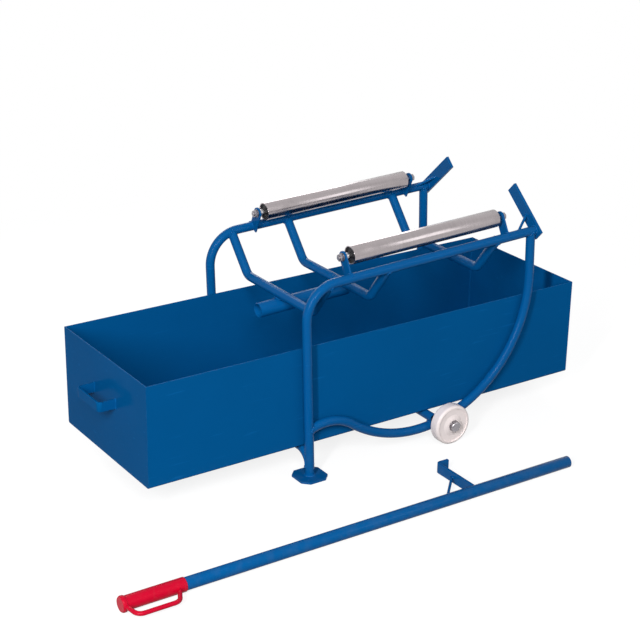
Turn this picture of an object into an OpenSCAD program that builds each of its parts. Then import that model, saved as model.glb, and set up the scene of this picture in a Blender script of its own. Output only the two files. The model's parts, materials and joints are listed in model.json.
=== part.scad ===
// Tipping stand on two rollers, with a collecting tray and a loose tipping lever.
// Everything is drawn with the tray's front wall at x = 0, the middle plane at y = 0 and the
// floor at z = 0, and is then moved so that the origin is under the middle of the whole.
// +X runs from the tray's handle to the toes. The near side is -Y, where the lever lies.

/* [Tube frame] */
// Outside diameter of the frame tubes
tube_d = 26.9; // [24:0.1:30]
// Wall of the frame tubes
tube_wall = 2.6; // [2:0.1:4]
// Gap between the tray's side and a frame tube
side_gap = 3.6; // [2:0.1:12]
// Distance from the tray's front wall to the foot of the legs
leg_x = 495; // [420:5:560]
// Height of the rails above the foot plates, along the legs
rail_rise = 554; // [520:2:600]
// Length of the rails behind the rear roller brackets
rail_overhang = 96; // [88:1:130]
// Slope of the rails, rising to the rear
frame_tilt = 2; // [0:0.5:4]
// Radius of the bend between leg and rail
rail_bend = 95; // [60:5:120]
// Gap left at a weld between two pieces
weld_gap = 0.1; // [0.05:0.05:0.3]

/* [Rocker tubes] */
// Radius of the large rolling arc
rocker_r = 390; // [370:5:410]
// Distance from the arc's centre back to the wheel axle
axle_back = 90; // [80:2:110]
// Distance from the arc's centre back to the rear crossbar
rear_bar_back = 47; // [30:1:55]
// Radius of the counter-bend near the leg
counter_bend = 149; // [130:1:170]
// Distance of the counter-bend's crest behind the leg
crest_back = 54; // [40:1:60]
// Straight length between the large arc and the counter-bend
bend_link = 4; // [2:1:10]
// Depth of the saddle cut in the rear crossbar
saddle_depth = 2; // [1:0.5:4]

/* [Cross members] */
// Depth of the cradle bars below the rails
cradle_drop = 112; // [90:1:130]
// Distance of the cradle bars' corners from the middle
cradle_corner = 170; // [150:2:185]
// Bend radius of the cradle bars' corners
cradle_bend = 32; // [24:1:45]
// Front cradle bar, from the leg
front_bar = 76; // [60:1:100]
// Middle cradle bar, from the leg
middle_bar = 269; // [220:1:300]
// Rear cradle bar, in front of the rear roller brackets
rear_bar_ahead = 39; // [34:1:80]
// Bend radius of the front crossbar's ends
crossbar_bend = 46; // [36:1:60]
// How far the front crossbar's ends are bent down
crossbar_turn = 72; // [60:1:78]
// Edge length of the square foot plates
foot_w = 88; // [70:1:110]
// Thickness of the foot plates
foot_t = 6; // [4:0.5:10]
// Length cut from each corner of a foot plate
foot_cut = 19; // [10:1:26]

/* [Lever socket] */
// Outside diameter of the socket
socket_d = 42.4; // [41:0.1:46]
// Wall of the socket
socket_wall = 2.6; // [2:0.1:3]
// Length of the socket
socket_l = 300; // [260:5:340]
// Mouth of the socket, from the leg
socket_start = 3; // [-20:1:20]

/* [Rollers] */
// Outside diameter of a roller
roller_d = 52; // [44:1:60]
// Wall of a roller
roller_wall = 3; // [2:0.5:5]
// Length of a roller
roller_l = 505; // [460:5:520]
// Front end of the rollers, from the leg
roller_start = 167; // [150:1:190]
// Distance of a roller's axis from the middle
roller_y = 220; // [205:1:230]
// Height of a roller's axis above the rails
roller_lift = 51; // [46:1:60]
// Diameter of a roller's spindle
spindle_d = 12; // [10:1:14]
// Gap between a roller's end and its bracket
bracket_gap = 19; // [12:1:30]
// Width of the flat-bar brackets
bracket_w = 33; // [28:1:40]
// Thickness of the brackets
bracket_t = 5; // [4:0.5:8]
// Inward lean of the brackets
bracket_lean = 26; // [15:1:32]
// Length of a roller's bearing insert
insert_l = 22; // [14:1:30]
// How deep a bearing insert lies in the roller's end
insert_recess = 3; // [1:0.5:6]
// Width across the flats of the spindle nuts
nut_flats = 19; // [17:1:22]
// Height of the spindle nuts
nut_h = 10; // [8:0.5:12]

/* [Toes] */
// Width of the toes' flat bar
toe_w = 38; // [30:1:50]
// Thickness of the toes
toe_t = 8; // [6:0.5:12]
// Length of a toe, inward from the middle of the rail
toe_l = 150; // [110:5:180]
// How far a toe reaches outward past the middle of the rail
toe_tail = 22; // [16:1:30]
// Rise of the toes towards the middle
toe_angle = 43; // [35:1:50]
// Diameter of the toe braces
brace_d = 8; // [6:0.5:10]
// Where a brace meets the rail, in front of the toe
brace_run = 66; // [40:1:70]
// Where a brace meets the toe, along the toe
brace_climb = 52; // [32:1:60]

/* [Wheels] */
// Diameter of the wheels
wheel_d = 120; // [110:1:125]
// Width of a wheel's tread
wheel_w = 35; // [28:1:42]
// Rounding of the tread's edges
tread_round = 8; // [3:0.5:10]
// Diameter of the raised hub
hub_d = 40; // [36:1:50]
// Diameter of the foot of the hub's cone
cone_d = 64; // [54:1:80]
// How far the hub stands proud of the tread
hub_proud = 1.5; // [0.5:0.5:4]
// Depth of the dished wheel faces
face_dish = 3; // [2:0.5:7]
// Width of the wheel's rim
rim_t = 9; // [6:0.5:14]
// Diameter of the wheel axle
axle_d = 20; // [16:1:21]
// Thickness of the axle washers
washer_t = 2.5; // [2:0.5:4]
// Diameter of the zinc axle cap
cap_d = 32; // [26:1:34]
// Height of the axle cap
cap_h = 11; // [9:0.5:14]

/* [Tray] */
// Length of the tray
tray_l = 1450; // [1350:10:1550]
// Width of the tray
tray_w = 480; // [440:5:520]
// Height of the tray
tray_h = 294; // [200:2:296]
// Sheet thickness of the tray
tray_wall = 3; // [2:0.5:4]
// Outside radius of the folds along the tray's underside
tray_fold = 6; // [5:0.5:12]
// Width of the tray's handle
handle_w = 130; // [110:2:160]
// How far the handle stands off the tray
handle_reach = 52; // [40:1:70]
// Height of the handle's flat bar
handle_h = 28; // [20:1:35]
// Thickness of the handle's flat bar
handle_t = 5; // [4:0.5:8]
// Outside bend radius of the handle
handle_bend = 12; // [8:1:20]
// Middle of the handle above the tray's underside
handle_z = 178; // [120:1:182]

/* [Lever] */
// Length of the lever with its grip
lever_l = 1420; // [1300:10:1500]
// Outside diameter of the lever tube
lever_d = 33.7; // [30:0.1:35]
// Wall of the lever tube
lever_wall = 3.2; // [2.6:0.1:4]
// Distance of the lever from the middle plane
lever_y = 598; // [560:2:640]
// Distance of the lever's tip from the tray's front wall
lever_tip_x = 1150; // [1100:5:1200]
// Height of the lever's domed end cap
tip_dome = 5; // [3:0.5:8]
// Distance of the hook from the lever's tip
hook_back = 344; // [300:2:400]
// Reach of the hook from the lever's axis
hook_reach = 172; // [140:2:180]
// Length of the hook's bent end
hook_return = 41; // [28:1:45]
// Height of the hook's flat bar
hook_h = 30; // [24:1:32]
// Thickness of the hook's flat bar
hook_t = 8; // [6:0.5:10]
// Outside radius of the hook's bend
hook_bend = 12; // [9:1:18]
// Where the hook's brace meets the bar, from the lever's axis
hook_brace_out = 98; // [70:1:110]
// Where the hook's brace meets the lever, in front of the hook
hook_brace_run = 94; // [60:1:110]

/* [Grip] */
// Length of the grip with its collar
grip_l = 174; // [160:1:190]
// Diameter of the grip's sleeve
grip_d = 38; // [37:0.5:44]
// Diameter of the collar at the grip's end
collar_d = 43; // [41:0.5:50]
// Length of the collar
collar_l = 14; // [11:0.5:16]
// Rounding of the collar's edges
collar_round = 5; // [3:0.5:5]
// Diameter of the hand guard's rod
guard_d = 12; // [10:0.5:15]
// Distance of the hand guard from the grip's axis
guard_reach = 62.5; // [56:0.5:75]
// Radius of the guard's outer corner, at the collar
guard_corner = 20; // [14:1:24]
// Radius of the guard's inner corner, towards the lever
guard_bend = 24; // [16:1:28]
// How far the guard turns back at its inner corner
guard_turn = 62; // [55:1:70]
// From the guard's inner corner to the grip's inner end
guard_back = 35; // [34:1:60]

/* [Hidden] */
$fn = 48;

// Colours of the finishes
frame_blue = [0.0, 0.36, 0.62];
tray_blue = [0.0, 0.32, 0.55];
roller_silver = [0.8, 0.79, 0.78];
zinc = [0.72, 0.72, 0.72];
steel = [0.55, 0.56, 0.58];
bearing_black = [0.1, 0.1, 0.11];
wheel_cream = [0.9, 0.87, 0.85];
grip_red = [0.84, 0.04, 0.18];

// Clearances: flat faces at rest, press seats, running shafts and free holes
rest_gap = 0.3;
seat_gap = 0.05;
run_gap = 0.05;
hole_gap = 0.1;

// How far a straight stretch reaches into a bend, and how much thinner it is there
bend_lap = 0.2;
bend_step = 0.1;

// Spare length of a leg below the foot plate's top, cut off level
foot_spare = 20;

tube_r = tube_d / 2;
rail_y = tray_w / 2 + side_gap + tube_r;

// Places along the rails of the roller brackets, the rear cradle bar and the rails' ends
front_bracket_u = roller_start - bracket_gap - bracket_t;
rear_bracket_u = roller_start + roller_l + bracket_gap;
rear_bar = rear_bracket_u - rear_bar_ahead;
frame_l = rear_bracket_u + bracket_t + rail_overhang;

// Centre of the large arc, seen from the side: behind the leg, and above the foot plates
arc_u = frame_l - tube_r - rocker_r;
arc_z = wheel_d / 2 + sqrt(pow(rocker_r, 2) - pow(axle_back, 2));
arc_v = (arc_z - foot_t - arc_u * sin(frame_tilt)) / cos(frame_tilt);
arc_x = leg_x + arc_u * cos(frame_tilt) - arc_v * sin(frame_tilt);
axle_x = arc_x + axle_back;

// The tray lies on the crossbars, and the rear one sits in a saddle on the rocker tubes
rear_bar_r = rocker_r - tube_d + saddle_depth;
rear_bar_x = arc_x + rear_bar_back;
bar_z = arc_z - sqrt(pow(rear_bar_r, 2) - pow(rear_bar_back, 2));
tray_z = bar_z + tube_r + rest_gap;

// Counter-bend: its centre, and how far both arcs turn
link_span = norm([rocker_r + counter_bend, bend_link]);
link_u = arc_u - crest_back;
link_v = sqrt(pow(link_span, 2) - pow(link_u, 2));
link_angle = atan2(link_v, link_u);
link_skew = atan2(bend_link, rocker_r + counter_bend);
rocker_turn = 180 - link_angle - link_skew;
counter_turn = acos((tube_r / 4 - crest_back) / counter_bend) - link_angle + link_skew;

cradle_v = rail_rise - cradle_drop;
socket_v = cradle_v - tube_r - socket_d / 2 - weld_gap;

roller_v = rail_rise + roller_lift;
nut_washer_t = 2;
thread_end = 3;
spindle_end = bracket_t + nut_washer_t + nut_h + thread_end;

// Places along a wheel's axle, outward from the middle of the rocker tube
inner_washer_y = tube_r + rest_gap;
hub_y = inner_washer_y + washer_t + rest_gap;
hub_l = wheel_w + 2 * hub_proud;
outer_washer_y = hub_y + hub_l + rest_gap;
cap_y = outer_washer_y + washer_t;
cap_seat = cap_h / 2;

// The lever lies on its collar and on its tip
lever_lie = asin((collar_d - lever_d) / 2 / (lever_l - tip_dome));
hook_x = lever_l - hook_back;
tip_x = lever_l - tip_dome;

// Middle of the whole, seen from above
low_x = lever_tip_x - lever_l;
high_x = tray_l;
low_y = -lever_y - guard_reach - guard_d / 2;
high_y = rail_y + cap_y + cap_h;
middle = [(low_x + high_x) / 2, (low_y + high_y) / 2];

// Moves the finished drawing over the origin
module centred() {
    translate([-middle.x, -middle.y, 0])
        children();
}

// The frame's own axes: u back along the rails, v up along the legs, from the feet
module in_frame() {
    centred()
        translate([leg_x, 0, foot_t])
            rotate([0, -frame_tilt, 0])
                children();
}

// The lever's own axes: x from the collar's end to the tip, on the tube's axis
module in_lever() {
    centred()
        translate([lever_tip_x - lever_l, -lever_y, collar_d / 2])
            rotate([0, lever_lie, 0])
                children();
}

// Turns a shape drawn flat so that it stands in the side view
module stand_side() {
    rotate([90, 0, 0])
        children();
}

// Turns a shape drawn flat so that it stands across the frame
module stand_across() {
    rotate([90, 0, 90])
        children();
}

// A cylinder that starts at the origin and runs along +X
module bar_x(d, l) {
    rotate([0, 90, 0])
        cylinder(d = d, h = l);
}

// A cylinder that starts at the origin and runs away from the middle plane
module bar_out(side, d, l) {
    rotate([-90 * side, 0, 0])
        cylinder(d = d, h = l);
}

// A round rod between two points
module rod_between(from, to, d) {
    run = to - from;
    translate(from)
        rotate([0, acos(run.z / norm(run)), atan2(run.y, run.x)])
            cylinder(d = d, h = norm(run));
}

// A rectangle with all four corners rounded
module rounded_rect(size, r) {
    translate([r, 0])
        square([size.x - 2 * r, size.y]);
    translate([0, r])
        square([size.x, size.y - 2 * r]);
    for (x = [r, size.x - r], y = [r, size.y - r])
        translate([x, y])
            circle(r = r);
}

// A rod bent in the flat, as a row of steps: straight length, turn to the left, bend radius
module bent_rod(steps, d, i = 0) {
    if (i < len(steps)) {
        straight = steps[i][0];
        turn = steps[i][1];
        radius = steps[i][2];
        side = turn < 0 ? -1 : 1;
        lap_in = i == 0 ? 0 : bend_lap;
        lap_out = turn == 0 ? 0 : bend_lap;
        if (straight > 0)
            translate([-lap_in, 0, 0])
                bar_x(d - bend_step, straight + lap_in + lap_out);
        if (turn != 0) {
            translate([straight, side * radius, 0])
                rotate([0, 0, side > 0 ? -90 : 90 + turn])
                    rotate_extrude(angle = abs(turn))
                        translate([radius, 0])
                            circle(d = d);
            translate([straight, side * radius, 0])
                rotate([0, 0, turn])
                    translate([0, -side * radius, 0])
                        bent_rod(steps, d, i + 1);
        }
    }
}

// The same bent rod as a tube with open ends
module bent_tube(steps) {
    difference() {
        bent_rod(steps, tube_d);
        bent_rod(steps, tube_d - 2 * tube_wall);
    }
}

// A straight tube along +X with open ends
module straight_tube(d, wall, l) {
    difference() {
        bar_x(d, l);
        translate([-1, 0, 0])
            bar_x(d - 2 * wall, l + 2);
    }
}

// Leg, bend and rail as a solid rod. It starts a little below the foot, to be cut level there
module side_rod(side, d) {
    steps = [
        [foot_spare + rail_rise - rail_bend, -90, rail_bend],
        [frame_l - rail_bend, 0, 0]
    ];
    translate([0, side * rail_y, -foot_spare])
        stand_side()
            rotate([0, 0, 90])
                bent_rod(steps, d);
}

// Space that a leg, a rail or a rocker tube takes from the pieces welded to it
module leg_space(side) {
    translate([0, side * rail_y, 0])
        cylinder(d = tube_d + 2 * weld_gap, h = rail_rise - rail_bend);
}

module rail_space(side) {
    translate([0, side * rail_y, rail_rise])
        bar_x(tube_d + 2 * weld_gap, frame_l + toe_t);
}

module rocker_space(side) {
    translate([arc_u, side * rail_y, arc_v])
        stand_side()
            rotate_extrude()
                translate([rocker_r, 0])
                    circle(d = tube_d + 2 * weld_gap);
}

// Leg, bend and rail in one tube. The foot is cut level with the floor
module side_tube(side) {
    color(frame_blue)
        in_frame()
            difference() {
                side_rod(side, tube_d);
                side_rod(side, tube_d - 2 * tube_wall);
                rotate([0, frame_tilt, 0])
                    translate([-tube_d, side * rail_y - tube_d, -2 * tube_d])
                        cube(2 * tube_d);
            }
}

// Post under the rail's end, rolling arc and counter-bend in one tube
module rocker(side) {
    steps = [
        [rail_rise - arc_v, -rocker_turn, rocker_r],
        [bend_link, counter_turn, counter_bend]
    ];
    color(frame_blue)
        difference() {
            in_frame()
                difference() {
                    translate([arc_u + rocker_r, side * rail_y, rail_rise])
                        stand_side()
                            rotate([0, 0, -90])
                                bent_tube(steps);
                    rail_space(side);
                    leg_space(side);
                }
            centred()
                translate([axle_x, side * (rail_y - tube_d), wheel_d / 2])
                    bar_out(side, axle_d + 2 * weld_gap, 2 * tube_d);
        }
}

// Bent bar that hangs from rail to rail. Near the leg it meets the rail's bend, which is lower
module cradle_bar(at) {
    into_bend = max(0, rail_bend - at);
    top = rail_rise - rail_bend + sqrt(pow(rail_bend, 2) - pow(into_bend, 2));
    slope = atan2(top - cradle_v, rail_y - cradle_corner);
    setback = cradle_bend * tan(slope / 2);
    arm = norm([top - cradle_v, rail_y - cradle_corner]) - setback;
    steps = [
        [arm, slope, cradle_bend],
        [2 * (cradle_corner - setback), slope, cradle_bend],
        [arm, 0, 0]
    ];
    color(frame_blue)
        in_frame()
            difference() {
                translate([at, -rail_y, top])
                    stand_across()
                        rotate([0, 0, -slope])
                            bent_tube(steps);
                side_rod(-1, tube_d + 2 * weld_gap);
                side_rod(1, tube_d + 2 * weld_gap);
            }
}

// Bar under the tray between the legs, with both ends bent down into them
module front_crossbar() {
    bar_v = (bar_z - foot_t) / cos(frame_tilt);
    start_y = -rail_y + crossbar_bend * (1 - sin(crossbar_turn));
    start_v = bar_v - crossbar_bend * (1 - cos(crossbar_turn));
    entry = bend_link;
    steps = [
        [entry, -crossbar_turn, crossbar_bend],
        [2 * (rail_y - crossbar_bend), -crossbar_turn, crossbar_bend],
        [entry, 0, 0]
    ];
    color(frame_blue)
        in_frame()
            difference() {
                translate([0, start_y, start_v])
                    stand_across()
                        rotate([0, 0, crossbar_turn])
                            translate([-entry, 0, 0])
                                bent_tube(steps);
                leg_space(-1);
                leg_space(1);
            }
}

// Straight bar under the tray, saddled on the rocker tubes
module rear_crossbar() {
    bar_l = 2 * rail_y + tube_d;
    color(frame_blue)
        difference() {
            centred()
                translate([rear_bar_x, -bar_l / 2, bar_z])
                    rotate([0, 0, 90])
                        straight_tube(tube_d, tube_wall, bar_l);
            in_frame() {
                rocker_space(-1);
                rocker_space(1);
            }
        }
}

// Open tube under the front and middle cradle bars that takes the lever
module lever_socket() {
    color(frame_blue)
        in_frame()
            translate([socket_start, 0, socket_v])
                straight_tube(socket_d, socket_wall, socket_l);
}

// Square plate with cut corners, flat on the floor
module foot_plate(side) {
    half = foot_w / 2;
    cut = half - foot_cut;
    outline = [
        [half, cut], [cut, half], [-cut, half], [-half, cut],
        [-half, -cut], [-cut, -half], [cut, -half], [half, -cut]
    ];
    color(frame_blue)
        centred()
            translate([leg_x, side * rail_y, 0])
                linear_extrude(foot_t)
                    polygon(outline);
}

// Flat bar that leans in from the rail and carries one end of a roller
module roller_bracket(side, at) {
    foot_l = norm([roller_lift, rail_y - roller_y]);
    color(frame_blue)
        in_frame()
            difference() {
                translate([at, side * roller_y, roller_v])
                    rotate([side * bracket_lean, 0, 0])
                        stand_across()
                            linear_extrude(bracket_t)
                                difference() {
                                    union() {
                                        circle(d = bracket_w);
                                        translate([-bracket_w / 2, -foot_l])
                                            square([bracket_w, foot_l]);
                                    }
                                    circle(d = spindle_d + 2 * hole_gap);
                                }
                rail_space(side);
            }
}

// Flat bar across the rail's rear end, reaching up and inward
module toe(side) {
    color(frame_blue)
        in_frame()
            translate([frame_l + weld_gap, side * rail_y, rail_rise])
                rotate([side * (180 - toe_angle), 0, 0])
                    translate([0, side > 0 ? -toe_tail : -toe_l, -toe_w / 2])
                        cube([toe_t, toe_l + toe_tail, toe_w]);
}

// Round bar that props the toe from the rail
module toe_brace(side) {
    toe_point = [
        frame_l,
        side * (rail_y - brace_climb * cos(toe_angle)),
        rail_rise + brace_climb * sin(toe_angle)
    ];
    rail_point = [frame_l - brace_run, side * rail_y, rail_rise];
    color(frame_blue)
        in_frame()
            difference() {
                rod_between(rail_point, toe_point + 0.3 * (toe_point - rail_point), brace_d);
                rail_space(side);
                translate([frame_l, side * rail_y - toe_l, rail_rise - toe_l])
                    cube(2 * toe_l);
            }
}

// Fixed shaft of a roller, through both brackets
module spindle(side) {
    color(zinc)
        in_frame()
            translate([front_bracket_u + bracket_t - spindle_end, side * roller_y, roller_v])
                bar_x(spindle_d, roller_l + 2 * bracket_gap + 2 * spindle_end);
}

// Hex nut along +X with chamfered corners
module hex_nut() {
    corners = nut_flats / cos(30);
    chamfer = (corners - nut_flats) / 4;
    intersection() {
        rotate([0, 90, 0])
            difference() {
                cylinder(d = corners, h = nut_h, $fn = 6);
                translate([0, 0, -1])
                    cylinder(d = spindle_d + 2 * seat_gap, h = nut_h + 2);
            }
        rotate([0, 90, 0])
            rotate_extrude()
                polygon([
                    [0, 0], [corners / 2 - chamfer, 0], [corners / 2, chamfer],
                    [corners / 2, nut_h - chamfer], [corners / 2 - chamfer, nut_h], [0, nut_h]
                ]);
    }
}

// Puts a piece outside each of the four brackets, at a distance from the bracket's face
module at_brackets(from_face) {
    for (side = [-1, 1]) {
        translate([front_bracket_u - from_face, side * roller_y, roller_v])
            mirror([1, 0, 0])
                children();
        translate([rear_bracket_u + bracket_t + from_face, side * roller_y, roller_v])
            children();
    }
}

module spindle_nuts() {
    color(zinc)
        in_frame()
            at_brackets(nut_washer_t)
                hex_nut();
}

// Flat washer along +X
module flat_washer(d, hole, t) {
    difference() {
        bar_x(d, t);
        translate([-1, 0, 0])
            bar_x(hole, t + 2);
    }
}

module spindle_washers() {
    color(zinc)
        in_frame()
            at_brackets(0)
                flat_washer(2 * spindle_d, spindle_d + 2 * hole_gap, nut_washer_t);
}

// Sleeves on the spindles that keep the rollers off their brackets
module roller_spacers() {
    spacer_l = bracket_gap + insert_recess - rest_gap;
    color(steel)
        in_frame()
            for (side = [-1, 1], at = [roller_start - bracket_gap, rear_bracket_u - spacer_l])
                translate([at, side * roller_y, roller_v])
                    flat_washer(1.5 * spindle_d, spindle_d + 2 * hole_gap, spacer_l);
}

// Smooth steel tube that turns round its spindle
module roller(side) {
    color(roller_silver)
        in_frame()
            translate([roller_start, side * roller_y, roller_v])
                straight_tube(roller_d, roller_wall, roller_l);
}

// Black inserts in both ends of a roller, with a step round the spindle's seal
module roller_bearings(side) {
    insert_d = roller_d - 2 * roller_wall - 2 * seat_gap;
    far_end = roller_l - insert_recess - insert_l;
    color(bearing_black)
        in_frame()
            for (at = [insert_recess, far_end])
                translate([roller_start + at, side * roller_y, roller_v])
                    difference() {
                        bar_x(insert_d, insert_l);
                        translate([-1, 0, 0])
                            bar_x(spindle_d + 2 * run_gap, insert_l + 2);
                        translate([at > insert_recess ? insert_l - 2 : -1, 0, 0])
                            difference() {
                                bar_x(insert_d - 6, 3);
                                bar_x(2 * spindle_d, 3);
                            }
                    }
}

// Fixed stub axle through the rocker tube
module axle(side) {
    inner_end = tube_r + 3;
    color(steel)
        centred()
            translate([axle_x, side * (rail_y - inner_end), wheel_d / 2])
                bar_out(side, axle_d, inner_end + cap_y + cap_seat);
}

module axle_washers() {
    color(zinc)
        centred()
            for (side = [-1, 1], at = [inner_washer_y, outer_washer_y])
                translate([axle_x, side * (rail_y + at), wheel_d / 2])
                    rotate([0, 0, 90 * side])
                        flat_washer(1.7 * axle_d, axle_d + 2 * seat_gap, washer_t);
}

// Domed cap over the end of each axle
module axle_caps() {
    edge = cap_h - cap_seat;
    color(zinc)
        centred()
            for (side = [-1, 1])
                translate([axle_x, side * (rail_y + cap_y + seat_gap), wheel_d / 2])
                    rotate([-90 * side, 0, 0])
                        difference() {
                            rotate_extrude() {
                                square([cap_d / 2, cap_seat]);
                                square([cap_d / 2 - edge, cap_h]);
                                intersection() {
                                    translate([cap_d / 2 - edge, cap_seat])
                                        circle(r = edge);
                                    square([cap_d / 2, cap_h]);
                                }
                            }
                            translate([0, 0, -1])
                                cylinder(d = axle_d + 2 * seat_gap, h = cap_seat + 1);
                        }
}

// One-piece wheel with rounded tread, dished faces and a hub that rises in a cone
module wheel(side) {
    wheel_r = wheel_d / 2;
    bore_r = axle_d / 2 + run_gap;
    dish_r = wheel_r - rim_t;
    web_low = hub_proud + face_dish;
    web_high = hub_l - web_low;
    hub = [
        [bore_r, 0], [hub_d / 2, 0], [cone_d / 2, web_low], [cone_d / 2, web_high],
        [hub_d / 2, hub_l], [bore_r, hub_l]
    ];
    color(wheel_cream)
        centred()
            translate([axle_x, side * (rail_y + hub_y), wheel_d / 2])
                rotate([-90 * side, 0, 0])
                    rotate_extrude() {
                        polygon(hub);
                        difference() {
                            translate([bore_r, hub_proud])
                                rounded_rect([wheel_r - bore_r, wheel_w], tread_round);
                            square([dish_r, web_low]);
                            translate([0, web_high])
                                square([dish_r, web_low]);
                        }
                    }
}

// Cross-section of the tray, folded along both lower edges
module tray_section(w, h, r) {
    translate([-w / 2, r])
        square([w, h - r]);
    translate([r - w / 2, 0])
        square([w - 2 * r, h]);
    for (y = [r - w / 2, w / 2 - r])
        translate([y, r])
            circle(r = r);
}

// Open box of folded sheet
module tray() {
    inner_r = tray_fold - tray_wall;
    color(tray_blue)
        centred()
            translate([0, 0, tray_z])
                difference() {
                    stand_across()
                        linear_extrude(tray_l)
                            tray_section(tray_w, tray_h, tray_fold);
                    translate([tray_wall, 0, tray_wall])
                        stand_across()
                            linear_extrude(tray_l - 2 * tray_wall)
                                tray_section(tray_w - 2 * tray_wall, tray_h, inner_r);
                }
}

// Flat bar bent to a bow, welded to the tray's front wall
module tray_handle() {
    inner_w = handle_w - 2 * handle_t;
    color(tray_blue)
        centred()
            translate([0, 0, tray_z + handle_z - handle_h / 2])
                linear_extrude(handle_h)
                    difference() {
                        translate([-handle_reach, -handle_w / 2])
                            rounded_rect([2 * handle_reach, handle_w], handle_bend);
                        translate([handle_t - handle_reach, -inner_w / 2])
                            rounded_rect([2 * handle_reach, inner_w], handle_bend - handle_t);
                        translate([-weld_gap, -handle_w])
                            square(2 * handle_w);
                    }
}

// Straight tube of the lever, from the grip's end wall to the end cap
module lever_tube() {
    color(frame_blue)
        in_lever()
            translate([collar_l, 0, 0])
                straight_tube(lever_d, lever_wall, tip_x - collar_l);
}

// Domed cap on the lever's tip, with a spigot in the tube
module lever_end_cap() {
    dome_r = (pow(lever_d / 2, 2) + pow(tip_dome, 2)) / (2 * tip_dome);
    spigot_d = lever_d - 2 * lever_wall - 2 * seat_gap;
    color(frame_blue)
        in_lever()
            translate([tip_x + seat_gap, 0, 0])
                rotate([0, 90, 0]) {
                    translate([0, 0, -lever_d / 2])
                        cylinder(d = spigot_d, h = lever_d / 2);
                    rotate_extrude()
                        intersection() {
                            translate([0, tip_dome - dome_r])
                                circle(r = dome_r);
                            square([lever_d / 2, tip_dome]);
                        }
                }
}

// Flat bar on edge that stands off the lever and turns towards its tip
module lever_hook() {
    color(frame_blue)
        in_lever()
            difference() {
                translate([hook_x, 0, -hook_h / 2])
                    linear_extrude(hook_h)
                        difference() {
                            translate([0, -hook_bend])
                                rounded_rect([2 * hook_return, hook_reach + hook_bend], hook_bend);
                            translate([hook_t, -2 * hook_reach])
                                rounded_rect(
                                    [2 * hook_return, 3 * hook_reach - hook_t],
                                    hook_bend - hook_t
                                );
                            translate([-1, -2 * hook_bend])
                                square([hook_t + 2, 2 * hook_bend]);
                            translate([hook_return, -1])
                                square(2 * hook_reach);
                        }
                bar_x(lever_d + 2 * weld_gap, lever_l);
            }
}

// Round bar that props the hook from the lever
module hook_brace() {
    lever_point = [hook_x - hook_brace_run, 0, 0];
    hook_point = [hook_x, hook_brace_out, 0];
    color(frame_blue)
        in_lever()
            difference() {
                rod_between(lever_point, hook_point + 0.2 * (hook_point - lever_point), brace_d);
                bar_x(lever_d + 2 * weld_gap, lever_l);
                translate([hook_x - weld_gap, 0, -hook_reach])
                    cube(2 * hook_reach);
            }
}

// Moulded grip: sleeve, collar and the bow that guards the hand
module lever_grip() {
    start_turn = 8;
    drop = guard_reach - guard_corner * (1 - sin(start_turn));
    back_leg = (guard_reach - guard_bend * (1 - cos(guard_turn))) / sin(guard_turn);
    bow_l = grip_l - collar_l - guard_corner - guard_bend - guard_back;
    steps = [
        [drop / cos(start_turn), 90 - start_turn, guard_corner],
        [bow_l, guard_turn, guard_bend],
        [back_leg, 0, 0]
    ];
    color(grip_red)
        in_lever()
            difference() {
                union() {
                    rotate([0, 90, 0])
                        rotate_extrude() {
                            rounded_half(collar_d / 2, collar_l, collar_round);
                            square([grip_d / 2, grip_l]);
                        }
                    translate([collar_l / 2, 0, 0])
                        rotate([0, 0, start_turn - 90])
                            bent_rod(steps, guard_d);
                }
                translate([collar_l - seat_gap, 0, 0])
                    bar_x(lever_d + 2 * seat_gap, grip_l);
            }
}

// Half of a rounded rectangle, for a turned piece
module rounded_half(r, h, corner) {
    intersection() {
        translate([-r, 0])
            rounded_rect([2 * r, h], corner);
        square([r, h]);
    }
}

side_tube(-1);  // near_side_tube
side_tube(1);  // far_side_tube
rocker(-1);  // near_rocker
rocker(1);  // far_rocker
cradle_bar(front_bar);  // front_cradle_bar
cradle_bar(middle_bar);  // middle_cradle_bar
cradle_bar(rear_bar);  // rear_cradle_bar
front_crossbar();
rear_crossbar();
lever_socket();
foot_plate(-1);  // near_foot_plate
foot_plate(1);  // far_foot_plate
roller_bracket(-1, front_bracket_u);  // near_front_bracket
roller_bracket(-1, rear_bracket_u);  // near_rear_bracket
roller_bracket(1, front_bracket_u);  // far_front_bracket
roller_bracket(1, rear_bracket_u);  // far_rear_bracket
toe(-1);  // near_toe
toe(1);  // far_toe
toe_brace(-1);  // near_toe_brace
toe_brace(1);  // far_toe_brace
spindle(-1);  // near_spindle
spindle(1);  // far_spindle
spindle_nuts();
spindle_washers();
roller_spacers();
roller(-1);  // near_roller
roller(1);  // far_roller
roller_bearings(-1);  // near_roller_bearings
roller_bearings(1);  // far_roller_bearings
axle(-1);  // near_axle
axle(1);  // far_axle
axle_washers();
axle_caps();
wheel(-1);  // near_wheel
wheel(1);  // far_wheel
tray();
tray_handle();
lever_tube();
lever_hook();
hook_brace();
lever_end_cap();
lever_grip();
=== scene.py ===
"""Dresses the tipping stand, its tray and its lever: finishes, weld seams, floor, light and camera."""

import json
import math

import bpy
from mathutils import Matrix, Vector


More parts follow.
